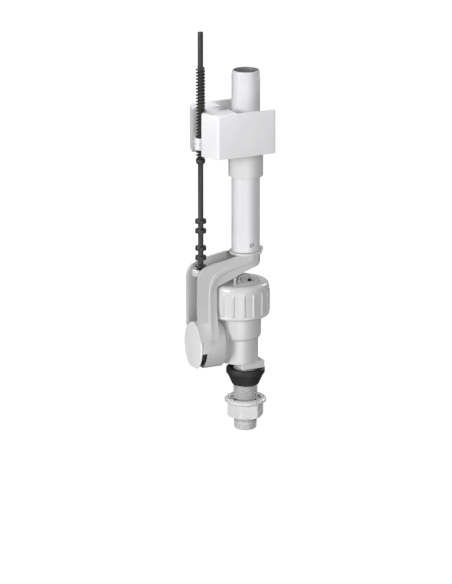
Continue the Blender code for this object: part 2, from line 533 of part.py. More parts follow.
def float_rod():
    """A long stem: plain top, threaded length, stop collars and a tapered foot over a pin."""
    core, half = ROD_CORE_R, COLLAR_T / 2
    profile = [(0, ROD_TOP), (core, ROD_TOP), (core, THREAD_TOP), (ROD_THREAD_R, THREAD_TOP),
               (ROD_THREAD_R, THREAD_TAPER), (core + 0.8, THREAD_END), (core, THREAD_END)]
    for height in COLLARS:
        profile += [(core, height + half), (COLLAR_R, height + half), (COLLAR_R, height - half),
                    (core, height - half)]
    profile += [(core, FOOT_TOP), (COLLAR_R, FOOT_RIM_TOP), (COLLAR_R, FOOT_RIM_LOW), (2.4, FOOT_BOTTOM),
                (ROD_PIN_R, FOOT_BOTTOM - 0.2), (ROD_PIN_R, BULB_TOP), (BULB_R, BULB_TOP - 0.6),
                (BULB_R, BULB_BOTTOM), (ROD_PIN_R, ROD_BOTTOM), (0, ROD_BOTTOM)]
    return plastic(turned("float_rod", PARTS, profile, (ROD_X, 0, 0), 20, closed=False), BLACK, 0.45)


clear_scene()
PARTS = collection("toilet_fill_valve")
CUTTERS = collection("cutters")

valve_body()
inlet_filter()
flow_restrictor()
flange_nut()
cone_seal()
bracket()
outlet_end_cap()
outlet_baffle()
port_seal()
guide_tube()
valve_head()
union_ring()
clamp_washer()
diaphragm()
diaphragm_core()
metering_pin()
lever_arm()
lever_pin()
pilot_seal()
float_box()
float_sleeve()
adjuster_nut()
float_rod()
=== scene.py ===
import math

import bmesh
import bpy
from mathutils import Matrix, Vector


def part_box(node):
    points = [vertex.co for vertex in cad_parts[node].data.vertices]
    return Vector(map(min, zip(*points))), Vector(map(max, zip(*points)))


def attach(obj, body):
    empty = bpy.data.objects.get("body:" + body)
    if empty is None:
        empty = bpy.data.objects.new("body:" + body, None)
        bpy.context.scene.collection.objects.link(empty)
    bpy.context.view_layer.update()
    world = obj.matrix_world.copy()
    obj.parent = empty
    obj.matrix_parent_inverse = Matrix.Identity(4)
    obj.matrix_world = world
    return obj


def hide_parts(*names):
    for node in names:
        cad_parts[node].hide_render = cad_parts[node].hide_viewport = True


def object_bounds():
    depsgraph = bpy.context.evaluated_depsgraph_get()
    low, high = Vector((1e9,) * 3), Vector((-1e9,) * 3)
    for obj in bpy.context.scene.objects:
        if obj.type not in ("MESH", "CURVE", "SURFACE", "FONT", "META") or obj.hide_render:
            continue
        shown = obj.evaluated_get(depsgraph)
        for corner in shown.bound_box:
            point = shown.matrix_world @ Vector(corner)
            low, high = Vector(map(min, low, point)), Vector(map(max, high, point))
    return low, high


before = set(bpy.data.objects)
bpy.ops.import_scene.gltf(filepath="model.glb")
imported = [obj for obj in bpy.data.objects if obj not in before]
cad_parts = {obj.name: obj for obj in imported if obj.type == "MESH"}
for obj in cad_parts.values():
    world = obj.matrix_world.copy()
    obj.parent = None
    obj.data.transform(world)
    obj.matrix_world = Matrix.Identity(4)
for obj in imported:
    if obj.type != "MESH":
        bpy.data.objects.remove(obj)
CAD_LOW, CAD_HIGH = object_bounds()

MM = 0.001
BODY, LEVER, ROD, FLOAT, ADJUSTER, UNION, NUT = "frame", "lever", "rod", "float", "adjuster", "union", "nut"


# ---- sizes read from the frame, mm ----------------------------------------------------------------
def corners(node):
    low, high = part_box(node)
    return [c / MM for c in low], [c / MM for c in high]


def middle(node):
    low, high = corners(node)
    return [(a + b) / 2 for a, b in zip(low, high)]


BODY_X = middle("union_ring")[0]
ROD_X = middle("float_rod")[0]
RING_LOW, RING_HIGH = corners("union_ring")
RING_R = min(RING_HIGH[0] - RING_LOW[0], RING_HIGH[1] - RING_LOW[1]) / 2
NUT_LOW, NUT_HIGH = corners("flange_nut")
NUT_FLANGE_R = (NUT_HIGH[0] - NUT_LOW[0]) / 2
SEAL_LOW, SEAL_HIGH = corners("cone_seal")
SEAL_R = (SEAL_HIGH[0] - SEAL_LOW[0]) / 2
TUBE_LOW, TUBE_HIGH = corners("guide_tube")
TUBE_R = (TUBE_HIGH[1] - TUBE_LOW[1]) / 2
ROD_LOW, ROD_HIGH = corners("float_rod")
FLOAT_LOW, FLOAT_HIGH = corners("float_box")
SLEEVE_LOW, SLEEVE_HIGH = corners("float_sleeve")
ADJ_LOW, ADJ_HIGH = corners("adjuster_nut")
CAP_LOW, CAP_HIGH = corners("outlet_end_cap")
SHANK_END = corners("valve_body")[0][2]


# ---- mesh tools -----------------------------------------------------------------------------------
def make_object(name, mesh, at=(0, 0, 0)):
    obj = bpy.data.objects.new(name, mesh)
    bpy.context.scene.collection.objects.link(obj)
    obj.location = Vector(at) * MM
    return obj


def smooth(obj, angle=38):
    obj.data.shade_smooth()
    obj.data.set_sharp_from_angle(angle=math.radians(angle))
    return obj


def from_bmesh(name, bm, at=(0, 0, 0)):
    bmesh.ops.recalc_face_normals(bm, faces=bm.faces)
    mesh = bpy.data.meshes.new(name)
    bm.to_mesh(mesh)
    bm.free()
    return make_object(name, mesh, at)


def soften(points, size, steps=4, closed=True, sharp=()):
    """Round the corners of an outline of (u, v) points.  Corners whose index is in sharp stay."""
    made = []
    count = len(points)
    for i, corner in enumerate(points):
        if i in sharp or (not closed and i in (0, count - 1)):
            made.append(corner)
            continue
        here = Vector(corner)
        before, after = Vector(points[i - 1]) - here, Vector(points[(i + 1) % count]) - here
        if before.length < 1e-6 or after.length < 1e-6:
            continue
        reach = min(size, before.length * 0.45, after.length * 0.45)
        a, b = here + before.normalized() * reach, here + after.normalized() * reach
        for k in range(steps + 1):
            t = k / steps
            point = a * (1 - t) ** 2 + here * 2 * t * (1 - t) + b * t * t
            made.append(tuple(point))
    return made


def surface(name, rows, at=(0, 0, 0), closed_rows=True):
    """A closed surface through equal rings of points (mm); rings at a single point become poles."""
    bm = bmesh.new()
    rings = [[bm.verts.new(Vector(p) * MM) for p in row] for row in rows]
    pairs = list(zip(rings, rings[1:]))
    if closed_rows:
        pairs.append((rings[-1], rings[0]))
    count = len(rings[0])
    for low, high in pairs:
        for j in range(count):
            k = (j + 1) % count
            bm.faces.new((low[j], low[k], high[k], high[j]))
    bmesh.ops.remove_doubles(bm, verts=bm.verts, dist=1e-7)
    bmesh.ops.dissolve_degenerate(bm, edges=bm.edges, dist=1e-7)
    return from_bmesh(name, bm, at)


def lathe(name, profile, at=(0, 0, 0), sides=96, closed=True, shape=None, axis="Z"):
    """Turn a (radius, height) profile.  shape(angle, radius, height) may change the radius."""
    rows = []
    for radius, height in profile:
        row = []
        for j in range(sides):
            angle = 2 * math.pi * j / sides
            r = shape(angle, radius, height) if shape else radius
            point = (r * math.cos(angle), r * math.sin(angle), height)
            if axis == "X":
                point = (height, point[0], point[1])
            if axis == "Y":
                point = (point[0], height, point[1])
            row.append(point)
        rows.append(row)
    return smooth(surface(name, rows, at, closed))


def loft(name, rows):
    """A solid through equal rings of points (mm), with flat ends."""
    bm = bmesh.new()
    rings = [[bm.verts.new(Vector(p) * MM) for p in row] for row in rows]
    count = len(rings[0])
    for low, high in zip(rings, rings[1:]):
        for j in range(count):
            k = (j + 1) % count
            bm.faces.new((low[j], low[k], high[k], high[j]))
    bm.faces.new(rings[0])
    bm.faces.new(rings[-1])
    return from_bmesh(name, bm)


def prism(name, outline, low, high, axis="Y", round_size=0.0, steps=3):
    """An extruded outline whose rim edges are rounded."""
    bm = bmesh.new()
    verts = []
    for u, v in outline:
        if axis == "Y":
            point = (u, low, v)
        elif axis == "X":
            point = (low, u, v)
        else:
            point = (u, v, low)
        verts.append(bm.verts.new(Vector(point) * MM))
    face = bm.faces.new(verts)
    made = bmesh.ops.extrude_face_region(bm, geom=[face])
    shift = {"X": (1, 0, 0), "Y": (0, 1, 0), "Z": (0, 0, 1)}[axis]
    moved = [e for e in made["geom"] if isinstance(e, bmesh.types.BMVert)]
    bmesh.ops.translate(bm, vec=Vector(shift) * (high - low) * MM, verts=moved)
    bmesh.ops.recalc_face_normals(bm, faces=bm.faces)
    if round_size:
        bm.normal_update()
        rim = [e for e in bm.edges if len(e.link_faces) == 2 and e.calc_face_angle() > math.radians(30)]
        bmesh.ops.bevel(bm, geom=rim, offset=round_size * MM, segments=steps, profile=0.5,
                        affect="EDGES", clamp_overlap=True)
    return from_bmesh(name, bm)


def box(name, low, high, round_size=0.0, steps=3):
    outline = [(low[0], low[1]), (high[0], low[1]), (high[0], high[1]), (low[0], high[1])]
    return prism(name, outline, low[2], high[2], "Z", round_size, steps)


def bar(name, radius, low, high, at=(0, 0, 0), axis="Z", sides=48, round_size=0.25):
    profile = [(0, high), (radius, high), (radius, low), (0, low)]
    return lathe(name, soften(profile, round_size, 3, closed=False), at, sides, False, axis=axis)


def boolean(obj, operation, *others):
    """Join, cut or intersect with other objects, which are used up."""
    for other in others:
        step = obj.modifiers.new("step", "BOOLEAN")
        step.operation = operation
        step.object = other
        step.solver = "EXACT"
    bpy.context.view_layer.update()
    made = bpy.data.meshes.new_from_object(obj.evaluated_get(bpy.context.evaluated_depsgraph_get()))
    obj.modifiers.clear()
    obj.data = made
    for other in others:
        bpy.data.objects.remove(other, do_unlink=True)
    return smooth(obj)


def cut(obj, *others):
    return boolean(obj, "DIFFERENCE", *others)


def join(obj, *others):
    return boolean(obj, "UNION", *others)


def round_edges(obj, size, steps=3, angle=35, where=None):
    """Round the sharp edges of a Boolean's result."""
    bm = bmesh.new()
    bm.from_mesh(obj.data)
    bmesh.ops.remove_doubles(bm, verts=bm.verts, dist=2e-6)
    bmesh.ops.dissolve_limit(bm, angle_limit=math.radians(1.5), verts=bm.verts, edges=bm.edges)
    bm.normal_update()
    rim = []
    for edge in bm.edges:
        if len(edge.link_faces) != 2 or edge.calc_face_angle() < math.radians(angle):
            continue
        centre = (edge.verts[0].co + edge.verts[1].co) / 2 / MM
        if where is None or where(centre):
            rim.append(edge)
    bmesh.ops.bevel(bm, geom=rim, offset=size * MM, segments=steps, profile=0.5, affect="EDGES",
                    clamp_overlap=True)
    bm.to_mesh(obj.data)
    bm.free()
    return smooth(obj)


def arc(centre, radius, start, end, steps):
    points = []
    for i in range(steps + 1):
        angle = math.radians(start + (end - start) * i / steps)
        points.append((centre[0] + radius * math.cos(angle), centre[1] + radius * math.sin(angle)))
    return points


def threaded_rows(root, crest, pitch, low, high, sides, per_pitch=10, flat=0.22):
    """Rings of points for a helical thread between two heights, fading out at its ends."""
    turns = (high - low) / pitch
    rows = []
    for i in range(math.ceil((turns + 1) * per_pitch) + 1):
        row = []
        for j in range(sides + 1):
            height = low + pitch * (i / per_pitch - 1 + j / sides)
            phase = abs(((i / per_pitch) % 1.0) * 2 - 1)
            lift = min(1.0, max(0.0, (phase - flat) / (1 - 2 * flat)))
            from_end = min(height - low, high - height)
            fade = min(1.0, max(0.0, from_end / (pitch * 0.7)))
            radius = root + (crest - root) * lift * fade
            height = min(max(height, low), high)
            angle = 2 * math.pi * j / sides
            row.append((radius * math.cos(angle), radius * math.sin(angle), height))
        rows.append(row)
    return rows


def thread(name, root, crest, pitch, low, high, at=(0, 0, 0), sides=48, per_pitch=10, flat=0.22, core=0.0):
    """A helical thread as a closed tube or rod: its outside, flat ends, and a bore if core is given."""
    rows = threaded_rows(root, crest, pitch, low, high, sides, per_pitch, flat)
    bm = bmesh.new()
    grid = [[bm.verts.new(Vector(p) * MM) for p in row] for row in rows]
    for a, b in zip(grid, grid[1:]):
        for j in range(sides):
            bm.faces.new((a[j], a[j + 1], b[j + 1], b[j]))
    bmesh.ops.remove_doubles(bm, verts=bm.verts, dist=1e-6)
    bmesh.ops.dissolve_degenerate(bm, edges=bm.edges, dist=1e-7)
    for height in (low, high):
        rim = [e for e in bm.edges if e.is_boundary and abs(e.verts[0].co.z - height * MM) < 1e-6
               and abs(e.verts[1].co.z - height * MM) < 1e-6]
        if rim:
            bmesh.ops.holes_fill(bm, edges=rim, sides=0)
    obj = from_bmesh(name, bm, at)
    if core:
        cut(obj, bar(name + "_bore", core, low - 1, high + 1, at, sides=sides, round_size=0))
    return smooth(obj, 30)


# ---- materials ------------------------------------------------------------------------------------
def new_material(name):
    material = bpy.data.materials.new(name)
    material.use_nodes = True
    tree = material.node_tree
    return material, tree, tree.nodes["Principled BSDF"]


def plastic(name, colour, roughness=0.38, grain=900.0, bump=0.03, variation=0.02):
    """Moulded plastic: faint cloudiness in the colour, uneven gloss and a fine mould grain."""
    material, tree, shader = new_material(name)
    nodes, links = tree.nodes, tree.links
    place = nodes.new("ShaderNodeTexCoord")
    cloud = nodes.new("ShaderNodeTexNoise")
    cloud.inputs["Scale"].default_value = 45.0
    cloud.inputs["Detail"].default_value = 4.0
    links.new(place.outputs["Object"], cloud.inputs["Vector"])
    ramp = nodes.new("ShaderNodeValToRGB")
    ramp.color_ramp.elements[0].position = 0.35
    ramp.color_ramp.elements[1].position = 0.65
    ramp.color_ramp.elements[0].color = (*[max(0.0, c * (1 - variation)) for c in colour], 1)
    ramp.color_ramp.elements[1].color = (*[min(1.0, c * (1 + variation)) for c in colour], 1)
    links.new(cloud.outputs["Fac"], ramp.inputs["Fac"])
    links.new(ramp.outputs["Color"], shader.inputs["Base Color"])
    gloss = nodes.new("ShaderNodeMapRange")
    gloss.inputs["To Min"].default_value = roughness - 0.05
    gloss.inputs["To Max"].default_value = roughness + 0.06
    patches = nodes.new("ShaderNodeTexNoise")
    patches.inputs["Scale"].default_value = 160.0
    patches.inputs["Detail"].default_value = 3.0
    links.new(place.outputs["Object"], patches.inputs["Vector"])
    links.new(patches.outputs["Fac"], gloss.inputs["Value"])
    links.new(gloss.outputs["Result"], shader.inputs["Roughness"])
    fine = nodes.new("ShaderNodeTexNoise")
    fine.inputs["Scale"].default_value = grain
    fine.inputs["Detail"].default_value = 2.0
    links.new(place.outputs["Object"], fine.inputs["Vector"])
    relief = nodes.new("ShaderNodeBump")
    relief.inputs["Strength"].default_value = bump
    relief.inputs["Distance"].default_value = 0.0002
    links.new(fine.outputs["Fac"], relief.inputs["Height"])
    links.new(relief.outputs["Normal"], shader.inputs["Normal"])
    return material


def paint_bore_shade(material, radius, shade):
    """Darken what lies within a radius of the piece's upright axis: painted shade, standing in for the shadow
    inside a bore.
    """
    tree = material.node_tree
    nodes, links = tree.nodes, tree.links
    place = nodes.new("ShaderNodeTexCoord")
    flat = nodes.new("ShaderNodeVectorMath")
    flat.operation = "MULTIPLY"
    flat.inputs[1].default_value = (1, 1, 0)
    links.new(place.outputs["Object"], flat.inputs[0])
    reach = nodes.new("ShaderNodeVectorMath")
    reach.operation = "LENGTH"
    links.new(flat.outputs["Vector"], reach.inputs[0])
    edge = nodes.new("ShaderNodeMapRange")
    edge.inputs["From Min"].default_value = (radius - 0.1) * MM
    edge.inputs["From Max"].default_value = (radius + 0.1) * MM
    links.new(reach.outputs["Value"], edge.inputs["Value"])
    # a painted shade colour, mixed over the plastic's own colour inside the radius
    blend = nodes.new("ShaderNodeMix")
    blend.data_type = "RGBA"
    shader = nodes["Principled BSDF"]
    usual = shader.inputs["Base Color"].links[0].from_socket
    colours = [i for i in blend.inputs if i.type == "RGBA"]
    colours[0].default_value = (*shade, 1)
    links.new(usual, colours[1])
    links.new(edge.outputs["Result"], blend.inputs["Factor"])
    links.new([o for o in blend.outputs if o.type == "RGBA"][0], shader.inputs["Base Color"])


WHITE = plastic("white_moulded", (0.60, 0.60, 0.60), 0.2)
FLOAT_WHITE = plastic("float_moulded", (0.80, 0.80, 0.815), 0.42)
TUBE_WHITE = plastic("tube_extruded", (0.68, 0.68, 0.70), 0.30, grain=500.0)
BORE_SHADE_R = 10.75
# painted shade: the tube's bore is coloured darker than its plastic, in place of the shadow inside it
paint_bore_shade(TUBE_WHITE, BORE_SHADE_R, (0.24, 0.24, 0.25))
SLEEVE_WHITE = plastic("sleeve_moulded", (0.64, 0.64, 0.64), 0.36)
NUT_WHITE = plastic("nut_moulded", (0.64, 0.64, 0.64), 0.26)
# painted shade: the shank is the body's white plastic, coloured darker to stand for the shade among its
# threads
SHANK_PAINTED_SHADE = plastic("shank_moulded", (0.50, 0.50, 0.50), 0.42)
CAP_WHITE = plastic("cap_moulded", (0.80, 0.80, 0.80), 0.3)
GREY = plastic("grey_moulded", (0.56, 0.56, 0.57), 0.42)
BLACK = plastic("black_moulded", (0.035, 0.031, 0.028), 0.42, variation=0.10)
ORANGE = plastic("orange_moulded", (0.75, 0.30, 0.05), 0.4)
BLUE = plastic("blue_moulded", (0.10, 0.25, 0.55), 0.4)
RUBBER = plastic("black_rubber", (0.015, 0.015, 0.016), 0.55, grain=1500.0, bump=0.08, variation=0.12)


def steel(name="drawn_wire"):
    material, tree, shader = new_material(name)
    shader.inputs["Metallic"].default_value = 1.0
    place = tree.nodes.new("ShaderNodeTexCoord")
    stretch = tree.nodes.new("ShaderNodeMapping")
    stretch.inputs["Scale"].default_value = (3000, 3000, 80)
    lines = tree.nodes.new("ShaderNodeTexNoise")
    span = tree.nodes.new("ShaderNodeMapRange")
    span.inputs["To Min"].default_value = 0.22
    span.inputs["To Max"].default_value = 0.40
    tree.links.new(place.outputs["Object"], stretch.inputs["Vector"])
    tree.links.new(stretch.outputs["Vector"], lines.inputs["Vector"])
    tree.links.new(lines.outputs["Fac"], span.inputs["Value"])
    tree.links.new(span.outputs["Result"], shader.inputs["Roughness"])
    shader.inputs["Base Color"].default_value = (0.55, 0.55, 0.56, 1)
    return material


STEEL = steel()


def dress(obj, material, body, slot, *nodes):
    """Finish a piece: its material, the body it rides on and the CAD nodes it stands for. The slot argument
    is not used.
    """
    obj.data.materials.clear()
    obj.data.materials.append(material)
    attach(obj, body)
    if nodes:
        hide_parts(*nodes)
    return obj


# ---- sizes that more than one piece uses, mm ------------------------------------------------------
SHANK_CLEARANCE_R, INLET_BORE_R = 10.75, 6.2
OUTLET_AXIS_Z, PEG_Z = 57.5, 137.2


# ---- union ring -----------------------------------------------------------------------------------
RIB_COUNT = 18
RIB_PHASE = math.radians(-107)
RIB_HEIGHT = 0.9


def union_ring():
    low, top = RING_LOW[2], RING_HIGH[2]
    wall_low, wall_high = low + 5.4, top - 8.4
    plain = RING_R - RIB_HEIGHT

    def ribbed(angle, radius, height):
        if radius < plain - 6:
            return radius
        turn = (angle - RIB_PHASE) / (2 * math.pi / RIB_COUNT)
        off = abs(turn - round(turn)) * 2 * math.pi / RIB_COUNT * RING_R
        across = min(1.0, max(0.0, (1.3 - off) / 0.8))
        along = min(1.0, max(0.0, (height - low - 3.4) / 0.5), max(0.0, (top - 6.4 - height) / 1.4))
        return radius + RIB_HEIGHT * across * across * (3 - 2 * across) * along

    outer = [(17.1, top), (22.4, top), (23.6, top - 0.2), (24.8, top - 0.9), (25.6, top - 2.2),
             (plain, top - 4.2), (plain, top - 6.0)]
    steps = 10
    outer += [(plain, wall_high + (wall_low - wall_high) * i / steps) for i in range(steps + 1)]
    outer += [(plain, low + 4.2), (plain, low + 3.2), (plain + 0.35, low + 2.7), (plain + 0.35, low + 1.6),
              (plain - 0.6, low + 0.6), (plain - 2.4, low), (22.9, low)]
    inner = [(22.3, low), (22.3, top - 4.9), (17.1, top - 4.9)]
    profile = soften(outer + inner, 0.45, 2)
    ring = lathe("union_ring_shell", profile, (BODY_X, 0, 0), 540, True, ribbed)
    return dress(smooth(ring, 30), WHITE, UNION, "white_plastic", "union_ring")


# ---- nut and seal ---------------------------------------------------------------------------------
POCKETS, POCKET_PHASE, POCKET_R = 11, math.radians(141.5), 14.9
HEX_R, HEX_PHASE = 15.95, math.radians(-14)


def flange_nut():
    top, low = NUT_HIGH[2], NUT_LOW[2]
    bore = SHANK_CLEARANCE_R
    edge = NUT_FLANGE_R
    rim = [(bore, top - 3.2), (12.6, top - 3.0), (12.9, top - 0.5), (13.4, top), (edge - 1.5, top),
           (edge, top - 1.5), (edge, top - 3.1), (edge - 2.1, top - 4.5), (bore, top - 4.5)]
    nut = lathe("flange_nut_body", soften(rim, 0.4, 3), sides=120)
    corner_angles = [HEX_PHASE + i * math.pi / 3 for i in range(6)]
    points = [(HEX_R * math.cos(a), HEX_R * math.sin(a)) for a in corner_angles]
    hexagon = prism("hex", soften(points, 1.1, 3), low, top - 4.0, "Z")
    cone = [(0, top), (17.4, top), (17.4, low + 1.9), (14.4, low), (0, low)]
    chamfer = lathe("chamfer", cone, closed=False)
    boolean(hexagon, "INTERSECT", chamfer)
    join(nut, hexagon)
    cut(nut, bar("nut_bore", bore, low - 1, top + 1, sides=96, round_size=0))
    for i in range(POCKETS):
        pocket = box("pocket", (-0.8, -1.3, top - 2.8), (0.8, 1.3, top + 1))
        turn = Matrix.Rotation(POCKET_PHASE + 2 * math.pi * i / POCKETS, 4, "Z")
        pocket.matrix_world = turn @ Matrix.Translation(Vector((POCKET_R, 0, 0)) * MM)
        cut(nut, pocket)
    return dress(smooth(nut, 32), NUT_WHITE, NUT, "white_plastic", "flange_nut")


def cone_seal():
    top, low = SEAL_HIGH[2], SEAL_LOW[2]
    bore = SHANK_CLEARANCE_R
    profile = [(SEAL_R - 2.2, top), (SEAL_R - 0.4, top), (SEAL_R, top - 0.8), (SEAL_R, top - 4.6),
               (SEAL_R - 1.4, top - 6.2), (11.9, low + 1.2), (11.3, low), (bore, low), (bore, top - 1)]
    seal = lathe("cone_seal_rubber", soften(profile, 0.5, 3), sides=96)
    return dress(seal, RUBBER, BODY, "black_rubber", "cone_seal")


# ---- valve body -----------------------------------------------------------------------------------
def oval(half_y, up, down, centre, steps=72, flat=math.radians(67)):
    points = []
    for i in range(steps + 1):
        angle = -flat + (math.pi + 2 * flat) * i / steps
        reach = up if math.sin(angle) > 0 else down
        points.append((half_y * math.cos(angle), centre + reach * math.sin(angle)))
    return points


HOUSING_Z, HOUSING_HALF_Y, HOUSING_UP, HOUSING_DOWN = 53.0, 16.5, 20.4, 21.6


def valve_body():
    outer = [(0, 90), (21.9, 90), (21.9, 77.5), (19.1, 76), (19.1, 58.0), (18.6, 56.6), (17.6, 55.4),
             (16.7, 55.0), (16.7, 34.2), (0, 34.2)]
    body = lathe("valve_body_shell", soften(outer, 0.6, 3, closed=False), (BODY_X, 0, 0), 128, False)
    plate = box("plate", (-10.6, -15, 28.8), (10.6, 15, 35.4), 0.5)
    neck = prism("neck", oval(8.5, HOUSING_UP - 3, HOUSING_DOWN - 3, HOUSING_Z), -23.5, BODY_X, "X", 0.5)
    flange_plan = oval(13.0, HOUSING_UP - 2.4, HOUSING_DOWN - 2.4, HOUSING_Z)
    flange = prism("flange", flange_plan, -24.0, -22.6, "X", 0.3)
    spigot = bar("spigot", 9.6, -33, BODY_X, (0, 0, OUTLET_AXIS_Z), "X", 64)
    join(body, plate, neck, flange, spigot)
    ring = [(9, 93), (17, 93), (17, 58.8), (9, 58.8)]
    cut(body,
        lathe("chamber", ring, (BODY_X, 0, 0), 96),
        bar("seat_top", 10, 84, 93, (BODY_X, 0, 0), round_size=0),
        bar("seat_bore", 6, 40, 85, (BODY_X, 0, 0), round_size=0),
        bar("inlet", INLET_BORE_R, 20, 46, round_size=0),
        bar("passage", 7.2, -36, BODY_X - 9.8, (0, 0, OUTLET_AXIS_Z), "X", round_size=0))
    return dress(smooth(body, 32), WHITE, BODY, "white_plastic", "valve_body")


KEYWAY_ANGLE = math.radians(-53)


def inlet_shank():
    root, crest, pitch = 9.1, 10.42, 1.814
    low, high, end = SHANK_END + 6.4, 31.0, SHANK_END
    shank = thread("inlet_shank_thread", root, crest, pitch, low, high, sides=72, per_pitch=12, flat=0.1)
    rim = [(0, low + 1), (9.7, low + 1), (9.7, end + 4.6), (9.2, end + 4.2), (9.7, end + 3.8),
           (9.7, end + 2.9),
           (9.2, end + 2.5), (9.7, end + 2.1), (9.4, end + 0.8), (8.4, end), (0, end)]
    tip = lathe("tip", soften(rim, 0.3, 3, closed=False), sides=72, closed=False)
    join(shank, tip)
    keyway = box("keyway", (8.9, -1.7, low + 2), (12, 1.7, 26))
    keyway.matrix_world = Matrix.Rotation(KEYWAY_ANGLE, 4, "Z")
    cut(shank, bar("shank_bore", INLET_BORE_R, end - 1, high + 2, sides=64, round_size=0), keyway)
    # the shank's darker colour is painted shade of its threads on the white plastic
    return dress(smooth(shank, 28), SHANK_PAINTED_SHADE, BODY, "white_plastic")


# ---- bracket and outlet ---------------------------------------------------------------------------
PLATE_OUT, PLATE_IN = 12.3, 9.1
LEG_LEFT, LEG_RIGHT = -50.8, -33.0
HOUSING_LEFT = CAP_HIGH[0] - 1.6
OUTLET_LOW, OUTLET_HIGH = (-49.0, -18.0, 25.0), (-43.7, 18.0, 48.5)


def u_plan(half, left, steps=32):
    return [(left, -half)] + arc((0, 0), half, -90, 90, steps) + [(left, half)]


PANEL_DEPTH, BAND_DEPTH = 0.5, 1.4
PANEL_EDGE = [(-41.1, 50), (-41.1, 101), (-40.3, 108), (-37.9, 113.6), (-33.5, 117.6), (-21.2, 121.8),
              (-9.8, 124.2), (-0.6, 126.0), (-0.6, 135)]
RIB_EDGE = [(-37.6, 50), (-37.6, 98), (-36.7, 104.2), (-33.9, 110.4), (-29.0, 114.2), (-21.2, 116.8),
            (-1.7, 120.9), (2.6, 121.8), (2.6, 135)]


FLARE_TOP, FLARE_FOOT, FLARE_IN_Y, FLARE_OUT_Y = 91, 53, 9.4, 16.46


def leg_flare(sign, steps=20):
    """The foot of a leg, which widens gently to the housing and carries the leg's steps down with it."""
    rows = []
    left_end = LEG_LEFT if sign < 0 else HOUSING_LEFT + 0.6
    edges = (left_end, PANEL_EDGE[0][0], RIB_EDGE[0][0], LEG_RIGHT)
    for i in range(steps + 1):
        t = i / steps
        out = t * t * (3 - 2 * t)
        row = [(left_end, sign * FLARE_IN_Y)]
        for depth, left, right in ((PANEL_DEPTH, 0, 1), (0.0, 1, 2), (BAND_DEPTH, 2, 3)):
            start = PLATE_OUT - depth - 0.06
            reach = start + (FLARE_OUT_Y - start) * out
            for edge in (left, right):
                x = edges[edge] - 2.0 * out if edge in (1, 2) else edges[edge]
                if edge == 1:
                    x += 0.35 if depth == 0 else -0.1
                if edge == 2:
                    x -= 1.0 * (1 - out) if depth == 0 else -0.1
                row.append((x, sign * reach))
        row.append((LEG_RIGHT, sign * FLARE_IN_Y))
        rows.append([(x, y, FLARE_TOP - (FLARE_TOP - FLARE_FOOT) * t) for x, y in row])
    return loft("flare", rows)


def shifted(points, distance):
    """A line of (u, v) points moved to its left."""
    moved = []
    for i, point in enumerate(points):
        before, after = Vector(points[max(i - 1, 0)]), Vector(points[min(i + 1, len(points) - 1)])
        along = (after - before).normalized()
        moved.append((point[0] - along.y * distance, point[1] + along.x * distance))
    return moved


def step_cutter(name, edge, rest, depth, sign, lean):
    """A solid that takes a plate down by a depth up to a line, with a sloping wall."""
    rows = []
    for height, aside in ((0.5, (depth + 0.5) * lean), (-depth, 0.0)):
        line = soften(shifted(edge, aside), 2.0, 4, closed=False)
        rows.append([(u, sign * (PLATE_OUT + height), v) for u, v in line + rest])
    return loft(name, rows)


def bracket():
    corner = arc((LEG_LEFT + 14, 110.8), 14, 180, 100, 18)
    under = [(-4.7, 115.4), (1.9, 117.3), (5.0, 118.2), (8.0, 119.6), (10.5, 121.4), (12.2, 124.0),
             (12.8, 127.0)]
    under = soften([(LEG_RIGHT, 60), (LEG_RIGHT, 104.9), (-17.8, 110.2)] + under, 2.2, 5, closed=False)
    side = [(LEG_LEFT, HOUSING_Z)] + corner + [(-14, 128.6), (14, 128.6)]
    side += list(reversed(under)) + [(LEG_RIGHT, HOUSING_Z)]
    plates = prism("bracket", side, -PLATE_OUT - 1, PLATE_OUT + 1)
    boolean(plates, "INTERSECT", prism("plan", u_plan(PLATE_OUT, -60), 40, 140, "Z"))
    cut(plates, prism("gap", u_plan(PLATE_IN, -61), 39, 141, "Z"))
    toe = oval(HOUSING_HALF_Y + 0.4, HOUSING_UP + 0.4, HOUSING_DOWN + 0.4, HOUSING_Z)
    cut(plates, prism("toe", toe, -60, HOUSING_LEFT, "X"))
    round_edges(plates, 0.5, 3, 40, lambda c: c.z > 62)
    for sign in (-1, 1):
        cut(plates,
            step_cutter("panel", PANEL_EDGE, [(-70, 135), (-70, 50)], PANEL_DEPTH, sign, -1.5),
            step_cutter("band", RIB_EDGE, [(30, 135), (30, 50)], BAND_DEPTH, sign, 1.0))
    ring = [(14.0, 130.4), (14.0, 128.4), (7.4, 128.4), (7.4, 142), (10.2, 142), (10.2, 130.4)]
    base = lathe("base", soften(ring, 0.5, 3), sides=96)
    lug = box("lug", (12.6, -2.4, 128.6), (15.6, 2.4, 132.6), 0.6)
    peg = bar("peg", 1.1, -12.2, -9.2, (0, 0, PEG_Z), "Y", 32, 0.3)
    housing = oval(HOUSING_HALF_Y, HOUSING_UP, HOUSING_DOWN, HOUSING_Z)
    shell = prism("shell", housing, HOUSING_LEFT, -26.2, "X", 0.5)
    join(plates, base, lug, peg, shell)
    for sign in (-1, 1):
        flare = leg_flare(sign)
        cut(flare, prism("toe", toe, -60, HOUSING_LEFT, "X"))
        join(plates, flare)
    inner = oval(HOUSING_HALF_Y - 2, HOUSING_UP - 2, HOUSING_DOWN - 2, HOUSING_Z)
    cut(plates,
        prism("inside", inner, HOUSING_LEFT - 4, -28.2, "X"),
        bar("port", 11.3, -30, -20, (0, 0, OUTLET_AXIS_Z), "X", 64, 0),
        box("outlet", OUTLET_LOW, OUTLET_HIGH, 0.6))
    plates.name = "bracket_shell"
    return dress(smooth(plates, 32), WHITE, BODY, "white_plastic", "bracket_housing")


